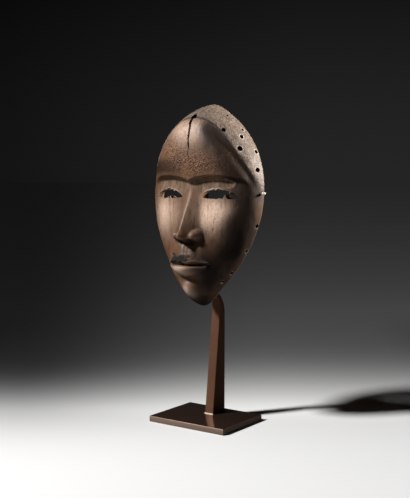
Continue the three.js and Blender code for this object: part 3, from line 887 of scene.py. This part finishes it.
class Nodes:
    """A shader's nodes, with short calls to add and feed them."""

    def __init__(self, tree):
        self.tree = tree

    def add(self, kind, **settings):
        node = self.tree.nodes.new(kind)
        for name, value in settings.items():
            setattr(node, name, value)
        return node

    def feed(self, socket, value):
        if isinstance(value, bpy.types.NodeSocket):
            self.tree.links.new(value, socket)
        else:
            socket.default_value = value

    def fill(self, node, **values):
        """Feeds a node's inputs by name, with _ for a space."""
        for name, value in values.items():
            self.feed(node.inputs[name.replace("_", " ")], value)

    def spread(self, value, low, high, start=0.0, end=1.0, way="SMOOTHSTEP"):
        """Start where the value is low, end where it is high."""
        node = self.add("ShaderNodeMapRange", interpolation_type=way)
        self.fill(node, Value=value, From_Min=low, From_Max=high, To_Min=start, To_Max=end)
        return node.outputs["Result"]


class Finish(Nodes):
    """One material, with short calls for its patterns, colours and bumps."""

    def __init__(self, name):
        self.material = bpy.data.materials.new(name)
        self.material.use_nodes = True
        super().__init__(self.material.node_tree)
        self.surface = self.tree.nodes["Principled BSDF"]
        self.place = self.add("ShaderNodeTexCoord").outputs["Object"]

    def attribute(self, name):
        return self.add("ShaderNodeAttribute", attribute_name=name).outputs["Fac"]

    def stretched(self, stretch):
        node = self.add("ShaderNodeMapping")
        self.fill(node, Vector=self.place, Scale=stretch)
        return node.outputs["Vector"]

    def noise(self, per_metre, detail, roughness, stretch=(1, 1, 1), twist=0.0):
        node = self.add("ShaderNodeTexNoise")
        self.fill(node, Vector=self.stretched(stretch), Scale=per_metre, Detail=detail)
        self.fill(node, Roughness=roughness, Distortion=twist)
        return node.outputs["Fac"]

    def cells(self, per_metre):
        node = self.add("ShaderNodeTexVoronoi")
        self.fill(node, Vector=self.place, Scale=per_metre)
        return node.outputs["Distance"]

    def maths(self, operation, a, b=0.0):
        node = self.add("ShaderNodeMath", operation=operation)
        self.feed(node.inputs[0], a)
        self.feed(node.inputs[1], b)
        return node.outputs["Value"]

    def times(self, a, b):
        return self.maths("MULTIPLY", a, b)

    def plus(self, a, b):
        return self.maths("ADD", a, b)

    def layer(self, share, under, over):
        """The over colour laid on the under colour where share is 1."""
        node = self.add("ShaderNodeMix", data_type="RGBA")
        self.feed(node.inputs["Factor"], share)
        for socket, colour in ((node.inputs[6], under), (node.inputs[7], over)):
            self.feed(socket, colour if isinstance(colour, bpy.types.NodeSocket) else (*colour, 1))
        return node.outputs[2]

    def level(self, share, under, over):
        """As layer, for plain values."""
        node = self.add("ShaderNodeMix", data_type="FLOAT")
        self.feed(node.inputs["Factor"], share)
        self.feed(node.inputs[2], under)
        self.feed(node.inputs[3], over)
        return node.outputs[0]

    def bump(self, height, millimetres, under=None):
        node = self.add("ShaderNodeBump")
        self.fill(node, Height=height, Distance=millimetres * MM)
        if under is not None:
            self.fill(node, Normal=under)
        return node.outputs["Normal"]

    def finish(self, colour, roughness, normal, **fixed):
        self.fill(self.surface, Base_Color=colour, Roughness=roughness, Normal=normal, **fixed)
        return self.material


def carved_wood():
    """Old dark wood: hand-worn tan patina with a painted highlight, painted shade, orange crust on the
    forehead and a paler dry hairline band.
    """
    wood = Finish("worn_dark_wood")
    broad = wood.noise(20, 3, 0.5)
    drift = wood.noise(34, 2, 0.5, (1, 1, 0.6))
    grain = wood.noise(330, 5, 0.62, (1, 1, 0.13), 0.6)
    fine = wood.noise(1500, 3, 0.6, (1, 1, 0.3))
    specks = wood.noise(720, 4, 0.72)
    dust = wood.noise(1100, 2, 0.6)
    blotches = wood.noise(300, 4, 0.65)
    pores = wood.cells(520)

    zone = {name: wood.attribute(name) for name in WOOD_ZONES}
    patch, crust, band = zone["patch"], zone["crust"], zone["band"]
    spread, times = wood.spread, wood.times

    pits = times(spread(pores, 0.34, 0.20), spread(drift, 0.42, 0.55))
    chips = times(zone["hole_rim"], spread(blotches, 0.45, 0.58, 0.0, 0.9))
    colour = wood.layer(spread(broad, 0.36, 0.64), WOOD["deep"], WOOD["warm"])
    over = dict(WOOD)
    over["band"] = wood.layer(spread(grain, 0.38, 0.66), WOOD["band_deep"], WOOD["band_pale"])
    over["inside"] = wood.layer(spread(grain, 0.4, 0.66), WOOD["raw"], WOOD["raw_grain"])
    layers = {
        "russet": spread(drift, 0.52, 0.70, 0, 0.6),
        # paler tan of wear from hands, with a painted highlight of the key light
        "handled": times(zone["handled"], spread(specks, 0.30, 0.62, 0.55, 1.0)),
        "grain": spread(grain, 0.48, 0.66, 0, 0.42),
        "dust": spread(dust, 0.60, 0.75, 0, 0.3),
        # painted shade, near black, laid over the wood's colour
        "patch": times(patch, 0.96),
        "ridge": times(zone["ridge"], wood.level(patch, 0.25, 0.08)),
        "crust": times(crust, 0.7),
        "crust_grain": times(times(spread(specks, 0.46, 0.60), crust), 0.85),
        "pit": times(pits, wood.plus(crust, 0.12)),
        "band": times(band, spread(broad, 0.25, 0.6, 0.75, 1.0)),
        "band_speck": times(spread(specks, 0.54, 0.62, 0, 0.85), band),
        "chip": times(chips, wood.plus(times(band, 0.85), 0.15)),
        "worn": times(zone["worn"], spread(specks, 0.35, 0.55, 0.4, 0.9)),
        "broken": zone["broken"],
        "seam": times(zone["seam"], 0.8),
        "cavity": times(zone["cavity"], 0.8),
        "inside": zone["inside"],
        "rim": times(zone["rim"], 0.6),
        # painted shade inside the drilled holes
        "bore": zone["bore"],
    }
    for name, share in layers.items():
        colour = wood.layer(share, colour, over[name])

    roughness = spread(broad, 0.3, 0.7, 0.40, 0.50)
    roughness = wood.level(times(crust, 0.7), roughness, CRUST_ROUGHNESS)
    for name, value in ZONE_ROUGHNESS.items():
        roughness = wood.level(zone[name], roughness, value)

    dry = wood.plus(crust, times(band, 0.6))
    dry = wood.plus(dry, times(zone["broken"], 2.0))
    normal = wood.bump(grain, 0.25)
    normal = wood.bump(times(specks, wood.plus(dry, 0.15)), 0.45, normal)
    normal = wood.bump(times(spread(pores, 0.15, 0.5), crust), 0.5, normal)
    normal = wood.bump(fine, 0.06, normal)
    return wood.finish(colour, roughness, normal, Specular_IOR_Level=0.24)


def raw_wood():
    """Pale whittled wood of the peg."""
    wood = Finish("raw_pale_wood")
    grain = wood.noise(900, 4, 0.6, (0.12, 1, 1))
    colour = wood.layer(wood.spread(grain, 0.35, 0.7), WOOD["peg"], WOOD["peg_grain"])
    return wood.finish(colour, 0.75, wood.bump(grain, 0.12))


def bronzed_steel():
    """Dark bronze-brown steel, satin and a little uneven, with polished, sawn and welded zones."""
    steel = Finish("bronzed_steel")
    cloud = steel.noise(28, 4, 0.6)
    grainy = steel.noise(1400, 3, 0.6)
    brushed = steel.noise(260, 4, 0.6, (1, 1, 0.05))
    sawn, polished = steel.attribute("sawn"), steel.attribute("polished")
    colour = steel.layer(steel.spread(cloud, 0.3, 0.7), BRONZE["deep"], BRONZE["warm"])
    layers = {
        "fleck": steel.spread(grainy, 0.55, 0.8, 0, 0.35),
        "ridge": steel.times(steel.attribute("ridge"), 0.25),
        "sawn": sawn,
        "polished": polished,
        "weld": steel.attribute("weld"),
    }
    for name, share in layers.items():
        colour = steel.layer(share, colour, BRONZE[name])
    roughness = steel.spread(steel.plus(cloud, steel.times(grainy, 0.3)), 0.4, 0.9, 0.46, 0.50)
    roughness = steel.level(sawn, roughness, 0.5)
    roughness = steel.level(polished, roughness, steel.spread(cloud, 0.3, 0.7, 0.10, 0.13))
    normal = steel.bump(grainy, 0.02, steel.bump(brushed, 0.02))
    return steel.finish(colour, roughness, normal, Metallic=0.6, Specular_IOR_Level=0.5)


def dress(piece, node, material, sharp, place):
    """Moves a piece to its place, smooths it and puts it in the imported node's stead."""
    piece.data.transform(place)
    for face in piece.data.polygons:
        face.use_smooth = True
    piece.data.set_sharp_from_angle(angle=math.radians(sharp))
    piece.data.materials.clear()
    piece.data.materials.append(material)
    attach(piece, "root")
    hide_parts(node)
    return piece


def mask_carving(post_back):
    piece = closed_rings("mask_carving", mask_rings(), capped=False)
    cut(piece, all_cutters())
    mark_zones(piece.data)
    return dress(piece, "mask", carved_wood(), MASK_SHARP, to_stand(post_back))


def whittled_peg(post_back):
    places = np.array(PEG_PLACES) + peg_surface_x()
    piece = round_rod("peg", np.array(PEG_SHARES) * PEG_RADIUS, places, PEG_SIDES)
    points = positions(piece.data)
    out = (points - np.array([0, -PEG_DEPTH, PEG_Z])) * (0, 1, 1)
    knife = -PEG_KNIFE * (0.5 + 0.5 * lumps(points, (3.0, 1.1, 1.1), 81))[:, None]
    piece.data.vertices.foreach_set("co", (points + out * knife).ravel())
    return dress(piece, "rim_peg", raw_wood(), PEG_SHARP, to_stand(post_back))


def arc(centre, radii, start, end, steps):
    """Points along an arc in the side view, angles in degrees."""
    angles = np.radians(np.linspace(start, end, steps + 1))
    return [(centre[0] + radii[0] * math.cos(a), centre[1] + radii[1] * math.sin(a)) for a in angles]


def post_outline(post_back, foot, tip_top):
    """Side outline of the bar from its foot round the bend and the riser and back, as y and z."""
    arm_under = ARM_TOP_Z - BAR_THICK
    neck_front = post_back - POST_NECK_DEPTH
    neck_z = arm_under - BEND_INNER_DROP
    rise_outer = RISE_INNER + BAR_THICK
    rise_y = post_back - ARM_REACH
    rise_z = arm_under + rise_outer
    tip_y = rise_y - RISE_INNER - BAR_THICK / 2
    half = BAR_THICK / 2
    outline = [(post_back - POST_FOOT_DEPTH, foot)]
    outline += arc((neck_front - BEND_INNER, neck_z), (BEND_INNER, BEND_INNER_DROP), 0, 90, 18)
    outline += arc((rise_y, rise_z), (rise_outer, rise_outer), 270, 180, 18)
    outline += arc((tip_y, tip_top - half), (half, half), 180, 0, 16)
    outline += arc((rise_y, rise_z), (RISE_INNER, RISE_INNER), 180, 270, 12)
    outline += arc((post_back - BEND_REACH, ARM_TOP_Z - BEND_DROP), (BEND_REACH, BEND_DROP), 90, 0, 26)
    outline.append((post_back, foot))
    return outline


def bevelled(piece, width):
    change = piece.modifiers.new("edges", "BEVEL")
    change.width = width
    change.segments = BEVEL_STEPS
    change.limit_method = "ANGLE"
    change.angle_limit = math.radians(STEEL_SHARP)
    settle(piece)


def weld_bead(post_back, plate_top):
    """A thin uneven bead round the bar's foot, as rings across it."""
    half = BAR_WIDTH / 2
    front = post_back - POST_FOOT_DEPTH
    corners = [(-half, front), (half, front), (half, post_back), (-half, post_back)]
    path = []
    for (ax, ay), (bx, by) in zip(corners, corners[1:] + corners[:1]):
        steps = max(int(math.hypot(bx - ax, by - ay) / WELD_STEP), 2)
        path += [(ax + (bx - ax) * i / steps, ay + (by - ay) * i / steps) for i in range(steps)]
    centre = np.array([0, (front + post_back) / 2])
    rings = []
    for i, (x, y) in enumerate(path):
        out = np.array([x, y]) - centre
        out = out / np.maximum(np.abs(out) / np.array([half, POST_FOOT_DEPTH / 2]), 1e-9).max() / half
        out = np.sign(out) * np.minimum(np.abs(out), 1)
        swell = WELD_SIZE + WELD_UNEVEN * math.sin(i * 2.4)
        ring = []
        for angle in np.radians(np.linspace(0, 360, 8, endpoint=False)):
            away = swell * math.cos(angle)
            up = plate_top + 0.1 + swell * max(math.sin(angle), -0.1)
            ring.append((x + out[0] * away, y + out[1] * away, up))
        rings.append(ring)
    rings.append(rings[0])
    return closed_rings("weld", np.array(rings), capped=False)


def level_cut(editor, z):
    """A ring of edges all round at one height."""
    every = editor.verts[:] + editor.edges[:] + editor.faces[:]
    bmesh.ops.bisect_plane(editor, geom=every, plane_co=(0, 0, z), plane_no=(0, 0, 1))


def store_ridges(mesh):
    store(mesh, "ridge", np.clip(curvature(mesh) * 4, 0, 1))


def post_bar(post_back, plate_top, tip_top, steel):
    outline = post_outline(post_back, plate_top, tip_top)
    half = BAR_WIDTH / 2
    rings = np.array([[(x, y, z) for y, z in outline] for x in (-half, half)])
    piece = closed_rings("post_bar", rings)
    bevelled(piece, BAR_EDGE)
    bead = weld_bead(post_back, plate_top)
    edit_mesh(piece, bmesh.types.BMesh.from_mesh, bead.data)
    bpy.data.objects.remove(bead)
    for above in (0.8, 1.4):
        edit_mesh(piece, level_cut, plate_top + above)
    store_ridges(piece.data)
    x, y, z = positions(piece.data).T
    front = smoothstep(2.5, 0.5, y - (post_back - POST_FOOT_DEPTH))
    middle = smoothstep(6.0, 4.5, np.abs(x))
    store(piece.data, "weld", smoothstep(1.3, 0.9, z - plate_top) * front * middle)
    dress(piece, "stand_post", steel, STEEL_SHARP, TO_METRES)


def foot_plate(low, high, steel):
    corners = [(low.x, low.y), (high.x, low.y), (high.x, high.y), (low.x, high.y)]
    rings = np.array([[(x, y, z) for x, y in corners] for z in (low.z, high.z)]) / MM
    piece = closed_rings("foot_plate", rings)
    bevelled(piece, PLATE_EDGE)
    store_ridges(piece.data)
    polished = positions(piece.data)[:, 2] > high.z / MM - 0.01
    store(piece.data, "polished", polished)
    store(piece.data, "sawn", ~polished)
    dress(piece, "stand_base", steel, STEEL_SHARP, TO_METRES)


def place_camera():
    camera = bpy.data.objects.new("camera", bpy.data.cameras.new("camera"))
    camera.data.lens = CAMERA_LENS
    camera.data.sensor_width = 36
    camera.data.clip_start = 0.01
    bpy.context.scene.collection.objects.link(camera)
    level, sine, cosine = math.cos(CAMERA_TILT), math.sin(CAMERA_TURN), math.cos(CAMERA_TURN)
    forward = Vector((-sine * level, cosine * level, -math.sin(CAMERA_TILT)))
    camera.location = CAMERA_PLACE
    camera.rotation_euler = forward.to_track_quat("-Z", "Y").to_euler()
    bpy.context.scene.camera = camera


def area_light(name, place, aim, size, watts, colour):
    lamp = bpy.data.lights.new(name, "AREA")
    lamp.shape = "DISK"
    lamp.size = size
    lamp.energy = watts
    lamp.color = colour
    light = bpy.data.objects.new(name, lamp)
    light.location = place
    light.rotation_euler = (Vector(aim) - Vector(place)).to_track_quat("-Z", "Y").to_euler()
    bpy.context.scene.collection.objects.link(light)
    return light


def pale_floor():
    """Pale paper under the object, its colour a painted pool of key light that darkens into the room
    behind it, sooner on the left, and its emission painted light further back.
    """
    paper = Finish("pale_floor")
    maths, plus, times = paper.maths, paper.plus, paper.times
    spread, level = paper.spread, paper.level
    parts = paper.add("ShaderNodeSeparateXYZ")
    paper.fill(parts, Vector=paper.place)
    x, y = parts.outputs["X"], parts.outputs["Y"]
    sine, cosine = math.sin(CAMERA_TURN), math.cos(CAMERA_TURN)
    away = plus(times(x, -sine), times(y, cosine))
    across = plus(times(x, cosine), times(y, sine))
    distance = maths("MAXIMUM", plus(away, CAMERA_AWAY), 0.5)
    side = spread(maths("DIVIDE", across, distance), *ROOM_SIDES)

    # painted light: the pool of key light on the paper, lighter to the right, and its fall into the
    # dark
    reach = level(maths("POWER", side, PAPER_REACH_POWER), *PAPER_REACH)
    beyond = maths("MAXIMUM", plus(away, -PAPER_START), 0.0)
    steps = maths("POWER", maths("DIVIDE", beyond, reach), PAPER_FALL_POWER)
    fall = maths("EXPONENT", times(steps, -1.0))
    # painted light spread round the object and far into the room
    from_peak = maths("POWER", plus(away, -PAINTED_HAZE_PLACE), 2.0)
    from_peak = maths("SQRT", plus(from_peak, PAINTED_HAZE_SOFTNESS))
    peak = maths("DIVIDE", level(side, *PAINTED_HAZE_PEAK), from_peak)
    painted_haze = times(maths("SUBTRACT", 1.0, fall), plus(level(side, *PAINTED_HAZE), peak))
    total = plus(times(fall, PAPER_LIGHT), painted_haze)

    # far off the painted light is emitted; near, it is painted into the paper's colour and dims beyond
    # the view
    distant = spread(away, *PAINTED_GLOW_FROM)
    painted_glow = times(total, distant)
    near = times(total, maths("SUBTRACT", 1.0, distant))
    near = times(near, spread(away, *NEAR_EDGE, EDGE_SHARE))
    near = times(near, spread(maths("ABSOLUTE", across), *SIDE_EDGE, EDGE_SHARE))
    for socket, value in (("Base Color", times(near, PAPER_SHADE)), ("Emission Color", painted_glow)):
        joined = paper.add("ShaderNodeCombineColor")
        paper.fill(joined, Red=value, Green=value, Blue=value)
        paper.feed(paper.surface.inputs[socket], joined.outputs["Color"])
    paper.fill(paper.surface, Emission_Strength=1.0, Roughness=0.9, Specular_IOR_Level=0.0)
    return paper.material


def dark_room():
    """A dark background, a little lighter on the right and darker further up."""
    world = bpy.data.worlds.new("room")
    world.use_nodes = True
    room = Nodes(world.node_tree)
    direction = room.add("ShaderNodeTexCoord").outputs["Generated"]
    parts = room.add("ShaderNodeSeparateXYZ")
    room.feed(parts.inputs[0], direction)
    to_right = room.add("ShaderNodeVectorMath", operation="DOT_PRODUCT")
    room.feed(to_right.inputs[0], direction)
    room.feed(to_right.inputs[1], (math.cos(CAMERA_TURN), math.sin(CAMERA_TURN), 0))
    light = room.spread(to_right.outputs["Value"], *ROOM_SIDES, *ROOM_LIGHT, "LINEAR")
    share = room.spread(parts.outputs["Z"], *ROOM_DARKENS_UP, 1.0, ROOM_TOP_SHARE)
    room.fill(room.tree.nodes["Background"], Color=light, Strength=share)
    bpy.context.scene.world = world


def studio():
    """A pale floor in a dark room, with a key light on the left; the floor isn't reflected."""
    half = FLOOR_HALF
    corners = [(-half, -half, 0), (half, -half, 0), (half, half, 0), (-half, half, 0)]
    floor = mesh_object("floor", corners, [(0, 1, 2, 3)])
    floor.data.materials.append(pale_floor())
    floor.visible_glossy = False
    dark_room()
    area_light("key", *KEY_LIGHT)
    bpy.context.scene.view_settings.view_transform = "Standard"


def rim_light(pieces):
    """A light behind the right side, for these pieces alone."""
    lamp = area_light("rim", *RIM_LIGHT)
    lit = bpy.data.collections.new("rim_lit")
    for piece in pieces:
        lit.objects.link(piece)
    lamp.light_linking.receiver_collection = lit


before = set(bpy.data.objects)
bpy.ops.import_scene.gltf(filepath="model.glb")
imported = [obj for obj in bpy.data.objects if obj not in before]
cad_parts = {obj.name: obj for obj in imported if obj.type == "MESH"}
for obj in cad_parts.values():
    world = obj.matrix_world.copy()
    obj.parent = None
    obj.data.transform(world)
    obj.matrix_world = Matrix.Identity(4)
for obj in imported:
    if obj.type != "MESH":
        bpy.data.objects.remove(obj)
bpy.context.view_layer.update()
place_camera()
studio()
post_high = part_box("stand_post")[1]
plate_low, plate_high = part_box("stand_base")
POST_BACK = post_high.y / MM
PLATE_TOP = plate_high.z / MM
STEEL = bronzed_steel()
post_bar(POST_BACK, PLATE_TOP, post_high.z / MM, STEEL)
foot_plate(plate_low, plate_high, STEEL)
rim_light([mask_carving(POST_BACK), whittled_peg(POST_BACK)])
